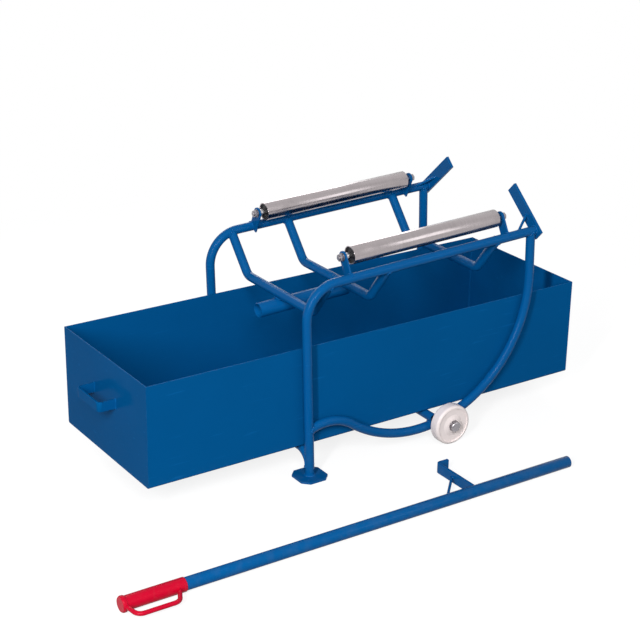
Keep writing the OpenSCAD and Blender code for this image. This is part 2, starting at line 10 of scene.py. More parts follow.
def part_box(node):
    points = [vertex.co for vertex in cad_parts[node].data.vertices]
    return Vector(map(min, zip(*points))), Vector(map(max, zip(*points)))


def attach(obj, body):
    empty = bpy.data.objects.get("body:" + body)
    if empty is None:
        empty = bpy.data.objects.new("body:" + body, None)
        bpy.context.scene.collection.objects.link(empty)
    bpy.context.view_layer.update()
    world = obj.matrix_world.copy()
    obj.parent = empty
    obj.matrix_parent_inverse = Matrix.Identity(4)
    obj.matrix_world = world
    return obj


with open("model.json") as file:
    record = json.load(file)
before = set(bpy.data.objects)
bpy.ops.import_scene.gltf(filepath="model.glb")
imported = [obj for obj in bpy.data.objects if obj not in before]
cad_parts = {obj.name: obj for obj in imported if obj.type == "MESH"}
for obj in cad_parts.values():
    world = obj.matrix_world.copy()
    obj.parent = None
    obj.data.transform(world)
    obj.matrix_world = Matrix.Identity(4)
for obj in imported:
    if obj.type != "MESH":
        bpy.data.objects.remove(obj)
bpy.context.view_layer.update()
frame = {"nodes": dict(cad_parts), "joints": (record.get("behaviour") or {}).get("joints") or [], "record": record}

# Tube frame, in metres
TUBE_R = 0.01345
RAIL_RISE = 0.554
RAIL_BEND = 0.095
FRAME_L = 0.792
POST_LOW = 0.45
ROCKER_R = 0.390
AXLE_BACK = 0.090
COUNTER_BEND = 0.149
CREST_BACK = 0.054
BEND_LINK = 0.004
CRADLE_DROP = 0.112
CRADLE_CORNER = 0.170
CRADLE_BARS = {"front": 0.076, "middle": 0.269, "rear": 0.652}
CROSSBAR_BEND = 0.046
SADDLE_SINK = 0.001
SOCKET_R = 0.0212

# Flat bars, round braces, lever and tray
BRACKET_LEAN = math.radians(26)
BRACKET_T = 0.005
TOE_ANGLE = math.radians(43)
BRACE_RUN = 0.066
BRACE_CLIMB = 0.052
BRACE_R = 0.004
LEVER_R = 0.01685
HOOK_T = 0.008
HOOK_H = 0.030
HOOK_BRACE_RUN = 0.094
HOOK_BRACE_OUT = 0.098
HANDLE_T = 0.005
SHEET = 0.003

# Weld beads: their radius, and what makes their ripples
BEAD_R = 0.0026
FOOT_BEAD_R = 0.003
TOE_BEAD_R = 0.003
BRACKET_BEAD_R = 0.0022
BRACE_BEAD_R = 0.0014
REAR_BAR_BEAD_R = 0.0024
SOCKET_BEAD_R = 0.0023
TRAY_BEAD_R = 0.0028
HANDLE_BEAD_R = 0.0022
RIPPLE_L = 0.0032
RIPPLE_DEPTH = 0.10
SWELL_DEPTH = 0.05
SWELL_RATE = 0.37
RING_STEP = 0.0008
RING_SIDES = 8
END_SHARE = 0.35
END_RINGS = 3

# How far a bead goes round a tube, to either side, in radians
BRACKET_WRAP = 1.45
TOE_WRAP = 2.3

# How far apart two crossing tubes are where the bead between them lies
REAR_BAR_GAP = 0.0045
SOCKET_GAP = 0.0042

# Where the beads lie on the hook, as a share of its height, and in the tray
HOOK_SEAM_SHARE = 0.9
TRAY_BEAD_INSET = 0.0006
TRAY_BEAD_BELOW_RIM = 0.002

# Points in a line before it is resampled
SADDLE_POINTS = 48
CIRCLE_POINTS = 40
CUT_POINTS = 32

# Softened edges, and the endings of the names of pieces that keep their edges and normals as made
EDGE_W = 0.0004
SOFT_EDGE_W = {"tray": 0.0007, "lever_hook": 0.0008, "tray_handle": 0.0008}
EDGE_ANGLE = math.radians(38)
JOIN_GAP = 0.00001
KEPT_AS_MADE = ("side_tube", "rocker", "cradle_bar", "crossbar", "brace", "grip")


def joint(name):
    """The joint of that name."""
    return next(j for j in frame["joints"] if j["name"] == name)


def centre(node):
    """The middle of a node's box."""
    low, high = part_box(node)
    return (Vector(low) + Vector(high)) / 2


# The frame's own axes: u back along the rails, y across, v up along the legs
X = Vector((1, 0, 0))
Y = Vector((0, 1, 0))
Z = Vector((0, 0, 1))
U = Vector(joint("near_roller_spin")["axis"]).normalized()
V = U.cross(Y)
SIDES = {"near": -1, "far": 1}
MID_Y = (centre("near_foot_plate").y + centre("far_foot_plate").y) / 2
RAIL_Y = (centre("far_foot_plate").y - centre("near_foot_plate").y) / 2
FOOT_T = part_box("near_foot_plate")[1][2]
FOOT = Vector((centre("near_foot_plate").x, MID_Y, FOOT_T))


def at(u, y, v):
    """A point given along the frame's own axes."""
    return FOOT + u * U + y * Y + v * V


def on_side(u, side, v):
    """A point in the plane of the near or the far tubes."""
    return at(u, side * RAIL_Y, v)


# Centres of the rolling arc and of the counter-bend, along the frame's own axes
AXLE_X, _, AXLE_Z = joint("near_wheel_spin")["pos_m"]
ROCKER_CENTRE = Vector((AXLE_X - AXLE_BACK, 0, AXLE_Z + math.sqrt(ROCKER_R**2 - AXLE_BACK**2)))
ROCKER_U = FRAME_L - TUBE_R - ROCKER_R
ROCKER_V = (ROCKER_CENTRE - FOOT).dot(V)
CENTRE_GAP = math.hypot(ROCKER_R + COUNTER_BEND, BEND_LINK)
COUNTER_V = ROCKER_V - math.sqrt(CENTRE_GAP**2 - (ROCKER_U - CREST_BACK) ** 2)


# Lines along which pieces meet

def turned(middle, axis, r, side, turns):
    """Points round an axis, at angles counted from a direction square to it."""
    third = axis.cross(side)
    return [middle + r * (math.cos(t) * side + math.sin(t) * third) for t in turns]


def circle(middle, axis, r, count, side=None):
    """Points on a circle, which may start from a given direction square to its axis."""
    side = side or axis.orthogonal().normalized()
    return turned(middle, axis, r, side, [2 * math.pi * k / count for k in range(count)])


def arc(middle, axis, r, zero, reach):
    """Points on a part of a circle, from reach before the direction zero to reach after it."""
    side = (zero - zero.dot(axis) * axis).normalized()
    turns = [2 * reach * k / (CIRCLE_POINTS - 1) - reach for k in range(CIRCLE_POINTS)]
    return turned(middle, axis, r, side, turns)


def saddle(foot, heading, r, axis_point, axis, axis_r):
    """Where a round piece of radius r, going from foot along heading, meets a tube round an axis."""
    heading = heading.normalized()
    flat_heading = heading - heading.dot(axis) * axis
    a = flat_heading.dot(flat_heading)
    line = []
    for start in circle(foot, heading, r, SADDLE_POINTS):
        offset = start - axis_point
        flat = offset - offset.dot(axis) * axis
        b = flat.dot(flat_heading)
        c = flat.dot(flat) - axis_r**2
        line.append(start + heading * ((-b - math.sqrt(max(0, b * b - a * c))) / a))
    return line


def cut(foot, heading, r, point, normal, side=None):
    """Where a round piece of radius r, going from foot along heading, meets a flat face."""
    line = []
    for start in circle(foot, heading, r, CUT_POINTS, side):
        line.append(start + heading * ((point - start).dot(normal) / heading.dot(normal)))
    return line


def crossing(middle, axis_a, r_a, axis_b, r_b, gap):
    """A loop round the spot where two crossing tubes touch, out to where they are gap apart."""
    reach_a = math.sqrt(2 * r_b * gap)
    reach_b = math.sqrt(2 * r_a * gap)
    loop = []
    for k in range(CIRCLE_POINTS):
        turn = 2 * math.pi * k / CIRCLE_POINTS
        a = reach_a * math.cos(turn)
        b = reach_b * math.sin(turn)
        lift = (b * b / (2 * r_a) - a * a / (2 * r_b)) / 2
        loop.append(middle + a * axis_a + b * axis_b + lift * axis_a.cross(axis_b))
    return loop


# Weld beads

def resampled(points, step, closed):
    """The same line with points about one step apart, and its length."""
    path = points + points[:1] if closed else points
    lengths = [(b - a).length for a, b in zip(path, path[1:])]
    total = sum(lengths)
    count = max(3, round(total / step))
    result = []
    leg, done = 0, 0.0
    for i in range(count if closed else count + 1):
        goal = total * i / count
        while leg < len(lengths) - 1 and done + lengths[leg] < goal:
            done += lengths[leg]
            leg += 1
        share = (goal - done) / lengths[leg] if lengths[leg] else 0
        result.append(path[leg].lerp(path[leg + 1], min(1, share)))
    return result, total


def thickness(i, count, ripples, closed):
    """How thick a bead is at ring i, as a share of its radius: rippled, uneven, thin at open ends."""
    phase = 2 * math.pi * ripples * i / count
    thick = 1 + RIPPLE_DEPTH * math.sin(phase) + SWELL_DEPTH * math.sin(SWELL_RATE * phase + 1)
    if closed:
        return thick
    to_end = min(i, count - 1 - i)
    return thick * min(1, END_SHARE + (1 - END_SHARE) * to_end / END_RINGS)


def nearest(vert, ring):
    """Which vertex of a ring lies nearest to a vertex of the ring before it."""
    return min(range(len(ring)), key=lambda k: (ring[k] - vert).length)


def bead_verts(points, closed, radius):
    """Rings of vertices round a line of points."""
    path, total = resampled(points, RING_STEP, closed)
    count = len(path)
    ripples = max(1, round(total / RIPPLE_L))
    verts = []
    side = None
    for i, point in enumerate(path):
        before = path[i - 1] if closed or i else point
        after = path[(i + 1) % count] if closed or i < count - 1 else point
        along = (after - before).normalized()
        side = side or along.orthogonal()
        side = (side - side.dot(along) * along).normalized()
        ring_r = radius * thickness(i, count, ripples, closed)
        verts += circle(point, along, ring_r, RING_SIDES, side)
    return verts


def bead_faces(verts, closed, base):
    """Faces between the rings, counted from a first vertex, and over the two ends of an open bead."""
    count = len(verts) // RING_SIDES
    faces = []
    for i in range(count if closed else count - 1):
        j = (i + 1) % count
        shift = 0
        if j == 0:
            shift = nearest(verts[i * RING_SIDES], verts[:RING_SIDES])
        for k in range(RING_SIDES):
            m = (k + 1) % RING_SIDES
            here = (i * RING_SIDES + k, i * RING_SIDES + m)
            there = (j * RING_SIDES + (m + shift) % RING_SIDES, j * RING_SIDES + (k + shift) % RING_SIDES)
            faces.append(here + there)
    if not closed:
        faces.append(tuple(reversed(range(RING_SIDES))))
        faces.append(tuple((count - 1) * RING_SIDES + k for k in range(RING_SIDES)))
    return [tuple(base + k for k in face) for face in faces]


def weld(name, lines, body, material, radius=BEAD_R, closed=True):
    """One piece with a rippled bead along each of the lines, which rides on a body."""
    verts, faces = [], []
    for line in lines:
        new_verts = bead_verts(line, closed, radius)
        faces += bead_faces(new_verts, closed, len(verts))
        verts += new_verts
    mesh = bpy.data.meshes.new(name)
    mesh.from_pydata([tuple(v) for v in verts], [], faces)
    mesh.validate()
    mesh.polygons.foreach_set("use_smooth", [True] * len(mesh.polygons))
    mesh.materials.append(material)
    obj = bpy.data.objects.new(name, mesh)
    bpy.context.scene.collection.objects.link(obj)
    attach(obj, body)


# Materials

FRAME_BLUE = (0.001, 0.095, 0.300)
TRAY_BLUE = (0.001, 0.091, 0.280)
# The roller grey is partly plated steel's own colour and partly painted reflection: darkened and tinted for a dark
# drum above the rollers, which is not built
ROLLER_GREY_WITH_PAINTED_REFLECTION = (0.41, 0.37, 0.378)
STEEL_GREY = (0.50, 0.50, 0.51)
# The zinc grey is partly the plate's own colour and partly painted reflection: darkened so the domed caps look as
# dark as a dome mirroring dark surroundings
ZINC_GREY_WITH_PAINTED_REFLECTION = (0.34, 0.32, 0.34)
SEAL_BLACK = (0.012, 0.012, 0.014)
WHEEL_CREAM = (0.88, 0.79, 0.775)
GRIP_RED = (0.56, 0.002, 0.026)
DUST = (0.30, 0.31, 0.30)
GRIME = (0.22, 0.20, 0.18)
RUBBED_W = 0.0016


def shade(colour, factor, lift=0.0):
    """A colour made darker or lighter by a factor, and lifted towards white."""
    return tuple(factor * c + lift for c in colour)


class Shader:
    """A material with a Principled surface, and short calls for the nodes that drive it."""

    def __init__(self, name, colour, roughness, metallic=0.0, specular=0.5):
        # The frame's own plain material gives up its name
        plain = bpy.data.materials.get(name)
        if plain:
            plain.name = f"{name}_plain"
        self.material = bpy.data.materials.new(name)
        self.material.use_nodes = True
        self.tree = self.material.node_tree
        self.surface = self.tree.nodes["Principled BSDF"]
        self.colour = (*colour, 1)
        self.surface.inputs["Base Color"].default_value = self.colour
        self.surface.inputs["Roughness"].default_value = roughness
        self.surface.inputs["Metallic"].default_value = metallic
        self.surface.inputs["Specular IOR Level"].default_value = specular
        self.place = self.tree.nodes.new("ShaderNodeTexCoord").outputs["Object"]
        self.normal = None

    def height(self):
        """Height above the floor, in metres."""
        node = self.tree.nodes.new("ShaderNodeSeparateXYZ")
        self.tree.links.new(self.place, node.inputs["Vector"])
        return node.outputs["Z"]

    def noise(self, scale, detail, stretch=None):
        """Noise over the object's own coordinates, which may be stretched along the axes."""
        node = self.tree.nodes.new("ShaderNodeTexNoise")
        node.inputs["Scale"].default_value = scale
        node.inputs["Detail"].default_value = detail
        place = self.place
        if stretch:
            mapping = self.tree.nodes.new("ShaderNodeMapping")
            mapping.inputs["Scale"].default_value = stretch
            self.tree.links.new(place, mapping.inputs["Vector"])
            place = mapping.outputs["Vector"]
        self.tree.links.new(place, node.inputs["Vector"])
        return node.outputs["Fac"]

    def edges(self):
        """1 on a sharp edge, 0 on flat and gently curved surfaces."""
        rounded = self.tree.nodes.new("ShaderNodeBevel")
        rounded.samples = 4
        rounded.inputs["Radius"].default_value = RUBBED_W
        true_normal = self.tree.nodes.new("ShaderNodeNewGeometry").outputs["True Normal"]
        alike = self.tree.nodes.new("ShaderNodeVectorMath")
        alike.operation = "DOT_PRODUCT"
        self.tree.links.new(rounded.outputs["Normal"], alike.inputs[0])
        self.tree.links.new(true_normal, alike.inputs[1])
        return self.spread(alike.outputs["Value"], low=0.97, high=0.80)

    def spread(self, value, low, high, to_low=0.0, to_high=1.0):
        """A value from one range mapped to another, and kept inside it."""
        node = self.tree.nodes.new("ShaderNodeMapRange")
        node.inputs["From Min"].default_value = low
        node.inputs["From Max"].default_value = high
        node.inputs["To Min"].default_value = to_low
        node.inputs["To Max"].default_value = to_high
        self.tree.links.new(value, node.inputs["Value"])
        return node.outputs["Result"]

    def times(self, a, b):
        """One value times another, or times a number."""
        node = self.tree.nodes.new("ShaderNodeMath")
        node.operation = "MULTIPLY"
        self.tree.links.new(a, node.inputs[0])
        if isinstance(b, float):
            node.inputs[1].default_value = b
        else:
            self.tree.links.new(b, node.inputs[1])
        return node.outputs["Value"]

    def tint(self, mask, colour, share):
        """Mixes another colour into the base colour where a mask is 1, by a share from 0 to 1."""
        node = self.tree.nodes.new("ShaderNodeMix")
        node.data_type = "RGBA"
        links = self.surface.inputs["Base Color"].links
        if links:
            self.tree.links.new(links[0].from_socket, node.inputs["A"])
        else:
            node.inputs["A"].default_value = self.colour
        node.inputs["B"].default_value = (*colour, 1)
        self.tree.links.new(self.times(mask, share), node.inputs["Factor"])
        self.tree.links.new(node.outputs["Result"], self.surface.inputs["Base Color"])

    def roughen(self, value, smooth, dull):
        """Lets the roughness wander between two levels."""
        rough = self.spread(value, low=0.3, high=0.7, to_low=smooth, to_high=dull)
        self.tree.links.new(rough, self.surface.inputs["Roughness"])

    def bump(self, height, strength, distance):
        """Adds one layer of relief to those already there."""
        node = self.tree.nodes.new("ShaderNodeBump")
        node.inputs["Strength"].default_value = strength
        node.inputs["Distance"].default_value = distance
        self.tree.links.new(height, node.inputs["Height"])
        if self.normal:
            self.tree.links.new(self.normal, node.inputs["Normal"])
        self.normal = node.outputs["Normal"]
        self.tree.links.new(self.normal, self.surface.inputs["Normal"])


def powder_coat(name, colour, worn, gloss, smooth, dull):
    """Powder coat with orange peel, faint scuffs, rubbed edges and a little floor dust low down."""
    shader = Shader(name, colour, roughness=0.35, specular=gloss)
    clouds = shader.spread(shader.noise(scale=3.0, detail=5), low=0.35, high=0.65)
    shader.tint(clouds, shade(colour, 0.74), share=0.25)

    near_floor = shader.spread(shader.height(), low=0.12, high=0.0)
    grains = shader.spread(shader.noise(scale=40.0, detail=6), low=0.42, high=0.70)
    shader.tint(shader.times(near_floor, grains), DUST, share=0.05)

    scuff_lines = shader.noise(scale=9.0, detail=8, stretch=(1.0, 6.0, 14.0))
    scuffs = shader.spread(scuff_lines, low=0.64, high=0.74)
    shader.tint(scuffs, shade(colour, 2.0, lift=0.01), share=worn)

    broken = shader.spread(shader.noise(scale=55.0, detail=6), low=0.38, high=0.62)
    rubbed = shader.times(shader.edges(), broken)
    shader.tint(rubbed, shade(colour, 1.9, lift=0.02), share=0.60)

    shader.roughen(shader.noise(scale=14.0, detail=6), smooth, dull)
    shader.bump(shader.noise(scale=420.0, detail=2), strength=0.10, distance=0.0004)
    shader.bump(shader.noise(scale=60.0, detail=3), strength=0.04, distance=0.0010)
    return shader.material


def roller_steel(name, colour):
    """Plated tube: lengthwise drawing streaks, fine turning lines and dull contact marks."""
    shader = Shader(name, colour, roughness=0.3, metallic=1.0)
    streak_lines = shader.noise(scale=1.0, detail=5, stretch=(1.6, 70.0, 70.0))
    streaks = shader.spread(streak_lines, low=0.35, high=0.65)
    shader.tint(streaks, shade(colour, 0.66), share=0.45)

    turning_lines = shader.noise(scale=1.0, detail=3, stretch=(420.0, 9.0, 9.0))
    turning = shader.spread(turning_lines, low=0.4, high=0.6)
    shader.tint(turning, shade(colour, 1.25), share=0.14)

    marks = shader.spread(shader.noise(scale=17.0, detail=7), low=0.55, high=0.72)
    shader.tint(marks, shade(colour, 0.55), share=0.30)

    shader.roughen(shader.noise(scale=24.0, detail=5), smooth=0.15, dull=0.32)
    shader.bump(turning_lines, strength=0.03, distance=0.0002)
    return shader.material


def turned_steel(name, colour):
    """Bare axle steel with turning lines and stains."""
    shader = Shader(name, colour, roughness=0.3, metallic=1.0)
    groove_lines = shader.noise(scale=1.0, detail=3, stretch=(60.0, 900.0, 60.0))
    grooves = shader.spread(groove_lines, low=0.35, high=0.65)
    shader.tint(grooves, shade(colour, 0.80), share=0.25)

    stains = shader.spread(shader.noise(scale=22.0, detail=6), low=0.52, high=0.72)
    shader.tint(stains, shade(colour, 0.62), share=0.20)

    shader.roughen(shader.noise(scale=30.0, detail=5), smooth=0.22, dull=0.42)
    shader.bump(groove_lines, strength=0.10, distance=0.0002)
    return shader.material


def zinc_plate(name, colour):
    """Mottled bright zinc plate, darker where it is touched."""
    shader = Shader(name, colour, roughness=0.3, metallic=1.0)
    cells = shader.spread(shader.noise(scale=160.0, detail=4), low=0.40, high=0.62)
    shader.tint(cells, shade(colour, 0.70), share=0.35)

    touched = shader.spread(shader.noise(scale=38.0, detail=5), low=0.48, high=0.66)
    shader.tint(touched, shade(colour, 0.50), share=0.30)

    shader.roughen(shader.noise(scale=220.0, detail=3), smooth=0.20, dull=0.38)
    shader.bump(shader.noise(scale=500.0, detail=2), strength=0.08, distance=0.0002)
    return shader.material


def moulded(name, colour, smooth, dull, stain, grain, gloss=0.5):
    """Moulded plastic with a fine grain, soft mottling and a little grime."""
    shader = Shader(name, colour, roughness=(smooth + dull) / 2, specular=gloss)
    mottle = shader.spread(shader.noise(scale=26.0, detail=5), low=0.40, high=0.65)
    shader.tint(mottle, shade(colour, 0.90), share=0.30)

    grime = shader.spread(shader.noise(scale=75.0, detail=7), low=0.56, high=0.76)
    shader.tint(grime, GRIME, share=stain)

    shader.roughen(shader.noise(scale=48.0, detail=5), smooth, dull)
    shader.bump(shader.noise(scale=900.0, detail=2), grain, distance=0.0002)
    shader.bump(shader.noise(scale=35.0, detail=3), strength=0.06, distance=0.0012)
    return shader.material


def rubber_grip(name, colour):
    """Dipped plastic with fine lengthwise ribs, thumb shine and a little grime."""
    shader = Shader(name, colour, roughness=0.35, specular=0.10)
    shine = shader.noise(scale=11.0, detail=4)
    handled = shader.spread(shine, low=0.42, high=0.66)
    shader.tint(handled, shade(colour, 0.82), share=0.22)

    grime = shader.spread(shader.noise(scale=70.0, detail=7), low=0.56, high=0.76)
    shader.tint(grime, GRIME, share=0.05)

    broken = shader.spread(shader.noise(scale=60.0, detail=5), low=0.40, high=0.62)
    rubbed = shader.times(shader.edges(), broken)
    shader.tint(rubbed, shade(colour, 1.5, lift=0.02), share=0.25)

    shader.roughen(shine, smooth=0.24, dull=0.46)
    ribs = shader.noise(scale=1.0, detail=3, stretch=(14.0, 620.0, 620.0))
    shader.bump(ribs, strength=0.10, distance=0.0003)
    shader.bump(shader.noise(scale=850.0, detail=2), strength=0.06, distance=0.0002)
    return shader.material


def make_materials():
    """One material for each of the record's slots, by name."""
    made = [
        powder_coat("frame_blue", FRAME_BLUE, worn=0.26, gloss=0.05, smooth=0.11, dull=0.22),
        powder_coat("tray_blue", TRAY_BLUE, worn=0.20, gloss=0.005, smooth=0.14, dull=0.26),
        roller_steel("roller_steel", ROLLER_GREY_WITH_PAINTED_REFLECTION),
        turned_steel("bright_steel", STEEL_GREY),
        zinc_plate("zinc", ZINC_GREY_WITH_PAINTED_REFLECTION),
        moulded("bearing_black", SEAL_BLACK, smooth=0.38, dull=0.55, stain=0.05, grain=0.15),
        moulded("wheel_cream", WHEEL_CREAM, smooth=0.34, dull=0.50, stain=0.06, grain=0.05, gloss=0.35),
        rubber_grip("grip_red", GRIP_RED),
    ]
    return {material.name: material for material in made}


def dress_nodes(materials):
    """Gives each of the model's nodes its material, and soft edges where it isn't kept as made."""
    slots = {entry["node"]: entry["material_slot"] for entry in frame["record"]["subparts"]}
    for name, obj in frame["nodes"].items():
        material = materials[slots[name]]
        if not obj.data.materials:
            obj.data.materials.append(material)
        for slot in obj.material_slots:
            slot.material = material
        if not name.endswith(KEPT_AS_MADE):
            soften_edges(obj, SOFT_EDGE_W.get(name, EDGE_W))


def soften_edges(obj, width):
    """Rounds a node's sharp edges in the picture, and leaves its mesh as it is."""
    joined = obj.modifiers.new("joined", "WELD")
    joined.merge_threshold = JOIN_GAP
    edges = obj.modifiers.new("edges", "BEVEL")
    edges.limit_method = "ANGLE"
    edges.angle_limit = EDGE_ANGLE
    edges.width = width
    edges.segments = 2
    edges.harden_normals = True


# Weld seams of the frame

def cradle_seams(side_name, side, coat):
    """Beads where the three cradle bars meet a side tube."""
    lines = []
    for u in CRADLE_BARS.values():
        lean = math.asin(max(0, RAIL_BEND - u) / RAIL_BEND)
        end = on_side(u, side, RAIL_RISE - RAIL_BEND * (1 - math.cos(lean)))
        side_tube_axis = math.cos(lean) * U + math.sin(lean) * V
        corner = at(u, side * CRADLE_CORNER, RAIL_RISE - CRADLE_DROP)
        lines.append(saddle(corner, end - corner, TUBE_R, end, side_tube_axis, TUBE_R))
    weld(f"{side_name}_cradle_seams", lines, "frame", coat)


def rocker_seams(side_name, side, coat):
    """Beads where a rocker tube's post meets the rail, and its low end the leg."""
    rail = on_side(0, side, RAIL_RISE)
    leg = on_side(0, side, 0)
    post = on_side(FRAME_L - TUBE_R, side, POST_LOW)
    turn = math.acos((TUBE_R - CREST_BACK) / COUNTER_BEND)
    touch_u = CREST_BACK + COUNTER_BEND * math.cos(turn)
    touch_v = COUNTER_V + COUNTER_BEND * math.sin(turn)
    heading = math.cos(turn) * V - math.sin(turn) * U
    back = on_side(touch_u, side, touch_v) - 2 * TUBE_R * heading
    post_end = saddle(post, V, TUBE_R, rail, U, TUBE_R)
    low_end = saddle(back, heading, TUBE_R, leg, V, TUBE_R)
    weld(f"{side_name}_rocker_seams", [post_end, low_end], "frame", coat)


def foot_seam(side_name, side, coat):
    """A bead round the foot of a leg."""
    middle = Vector((FOOT.x, MID_Y + side * RAIL_Y, FOOT_T))
    line = circle(middle, Z, TUBE_R, CIRCLE_POINTS)
    weld(f"{side_name}_foot_seam", [line], "frame", coat, FOOT_BEAD_R)


def bracket_seams(side_name, side, coat):
    """Beads on both faces of the front and rear roller brackets."""
    lean = math.cos(BRACKET_LEAN) * V - side * math.sin(BRACKET_LEAN) * Y
    lines = []
    for end in ("front", "rear"):
        middle_u = (centre(f"{side_name}_{end}_bracket") - FOOT).dot(U)
        for face in (-1, 1):
            spot = on_side(middle_u + face * BRACKET_T / 2, side, RAIL_RISE)
            lines.append(arc(spot, U, TUBE_R, lean, BRACKET_WRAP))
    weld(f"{side_name}_bracket_seams", lines, "frame", coat, BRACKET_BEAD_R, closed=False)


def toe_seams(side_name, side, coat):
    """Beads where a toe meets the rail's rear end, and at both ends of the toe's brace."""
    rail = on_side(0, side, RAIL_RISE)
    rail_end = on_side(FRAME_L, side, RAIL_RISE)
    collar = arc(rail_end, U, TUBE_R, V, TOE_WRAP)
    weld(f"{side_name}_toe_seam", [collar], "frame", coat, TOE_BEAD_R, closed=False)

    toe_up = math.sin(TOE_ANGLE) * V - side * math.cos(TOE_ANGLE) * Y
    low = on_side(FRAME_L - BRACE_RUN, side, RAIL_RISE)
    high = rail_end + BRACE_CLIMB * toe_up
    run = (high - low).normalized()
    on_rail = saddle(high, -run, BRACE_R, rail, U, TUBE_R)
    on_toe = cut(low, run, BRACE_R, high, U)
    weld(f"{side_name}_brace_seams", [on_rail, on_toe], "frame", coat, BRACE_BEAD_R)


def front_crossbar_seams(coat):
    """Beads round the front crossbar's ends, which are bent down into the legs."""
    # The straight rear crossbar lies at the same height
    bar_v = (centre("rear_crossbar").z - FOOT_T) / V.z
    lines = []
    for side in SIDES.values():
        line = []
        for k in range(SADDLE_POINTS):
            turn = 2 * math.pi * k / SADDLE_POINTS
            across = TUBE_R * math.sin(turn)
            bend = CROSSBAR_BEND + TUBE_R * math.cos(turn)
            y = RAIL_Y - math.sqrt(max(0, TUBE_R**2 - across**2))
            lean = math.asin(min(1, (y - RAIL_Y + CROSSBAR_BEND) / bend))
            line.append(at(across, side * y, bar_v - CROSSBAR_BEND + bend * math.cos(lean)))
        lines.append(line)
    weld("front_crossbar_seams", lines, "frame", coat)


def rear_crossbar_seams(coat):
    """Beads where the rear crossbar sits on the rocker tubes."""
    bar = centre("rear_crossbar")
    rocker_centre = at(ROCKER_U, 0, ROCKER_V)
    out = Vector((bar.x - rocker_centre.x, 0, bar.z - rocker_centre.z)).normalized()
    lines = []
    for side in SIDES.values():
        middle = Vector((bar.x, MID_Y + side * RAIL_Y, bar.z)) + (TUBE_R - SADDLE_SINK) * out
        lines.append(crossing(middle, Y, TUBE_R, Y.cross(out), TUBE_R, REAR_BAR_GAP))
    weld("rear_crossbar_seams", lines, "frame", coat, REAR_BAR_BEAD_R)


def socket_seams(coat):
    """Beads where the lever socket hangs under the front and the middle cradle bar."""
    under = RAIL_RISE - CRADLE_DROP - TUBE_R
    lines = []
    for name in ("front", "middle"):
        middle = at(CRADLE_BARS[name], 0, under)
        lines.append(crossing(middle, U, SOCKET_R, -Y, TUBE_R, SOCKET_GAP))
    weld("socket_seams", lines, "frame", coat, SOCKET_BEAD_R)


def frame_seams(coat):
    """All the frame's weld beads."""
    for side_name, side in SIDES.items():
        for seams in (cradle_seams, rocker_seams, foot_seam, bracket_seams, toe_seams):
            seams(side_name, side, coat)
    front_crossbar_seams(coat)
    rear_crossbar_seams(coat)
    socket_seams(coat)


# Weld seams of the tray and the lever

def tray_seams(coat):
    """Beads inside the tray, along the front and the rear wall and up the corners."""
    low, high = (Vector(corner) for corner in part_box("tray"))
    inset = SHEET + TRAY_BEAD_INSET
    floor_z = low.z + inset
    rise = (high.z - TRAY_BEAD_BELOW_RIM - floor_z) * Z
    for name, x in (("front", low.x + inset), ("rear", high.x - inset)):
        near = Vector((x, low.y + inset, floor_z))
        far = Vector((x, high.y - inset, floor_z))
        line = [near + rise, near, far, far + rise]
        weld(f"tray_{name}_seam", [line], "tray_body", coat, TRAY_BEAD_R, closed=False)


def handle_seams(coat):
    """Beads round the feet of the tray's handle, on the front wall."""
    wall_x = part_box("tray")[0][0]
    low, high = (Vector(corner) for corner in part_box("tray_handle"))
    lines = []
    for y in (low.y, high.y - HANDLE_T):
        corners = [(y, low.z), (y + HANDLE_T, low.z), (y + HANDLE_T, high.z), (y, high.z)]
        lines.append([Vector((wall_x, *corner)) for corner in corners])
    weld("tray_handle_seams", lines, "tray_body", coat, HANDLE_BEAD_R)


def lever_seams(coat):
    """Beads where the hook and its brace meet the lever."""
    hook_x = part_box("lever_hook")[0][0]
    root = Vector((hook_x, centre("lever_tube").y, centre("lever_hook").z))
    reach = math.asin(HOOK_SEAM_SHARE * HOOK_H / 2 / LEVER_R)
    lines = [arc(root + shift * X, X, LEVER_R, Y, reach) for shift in (0, HOOK_T)]
    weld("hook_seams", lines, "lever_body", coat, closed=False)

    start = root - HOOK_BRACE_RUN * X
    end = root + HOOK_BRACE_OUT * Y
    run = (end - start).normalized()
    on_lever = saddle(end, -run, BRACE_R, start, X, LEVER_R)
    on_hook = cut(end, run, BRACE_R, end, X, Z)
    weld("hook_brace_seams", [on_lever, on_hook], "lever_body", coat, BRACE_BEAD_R)


# Stage, light and camera

FLOOR_HALF = 12.0
FLOOR_DROP = 0.0004
FLOOR_GREY = (0.20, 0.20, 0.20, 1)
SHADOW_GREY = (0.25, 0.25, 0.25, 1)
FLOOR_GLOW = 0.84
FADE_FROM = 1.2
FADE_TO = 2.4
WHITE = (1, 1, 1, 1)
ROOM_LIGHT = 0.20
LIT_POINT = Vector((0.1, 0.1, 0.35))
CAMERA_PLACE = Vector((-2.3203, -3.4161, 2.0982))
CAMERA_YAW = math.radians(34.07)
CAMERA_PITCH = math.radians(22.11)
CAMERA_ROLL = math.radians(0.89)
SENSOR_MM = 36
LENS_MM = 90.7


def white_for_camera(tree, plain, shown, output):
    """Shows the white shader to the camera and in reflections, and the plain one to all other rays."""
    rays = tree.nodes.new("ShaderNodeLightPath")
    seen = rays.outputs["Is Camera Ray"]
    for name in ("Is Glossy Ray", "Is Transmission Ray"):
        either = tree.nodes.new("ShaderNodeMath")
        either.operation = "MAXIMUM"
        tree.links.new(seen, either.inputs[0])
        tree.links.new(rays.outputs[name], either.inputs[1])
        seen = either.outputs["Value"]
    mix = tree.nodes.new("ShaderNodeMixShader")
    tree.links.new(seen, mix.inputs["Fac"])
    tree.links.new(plain, mix.inputs[1])
    tree.links.new(shown, mix.inputs[2])
    tree.links.new(mix.outputs["Shader"], output.inputs["Surface"])


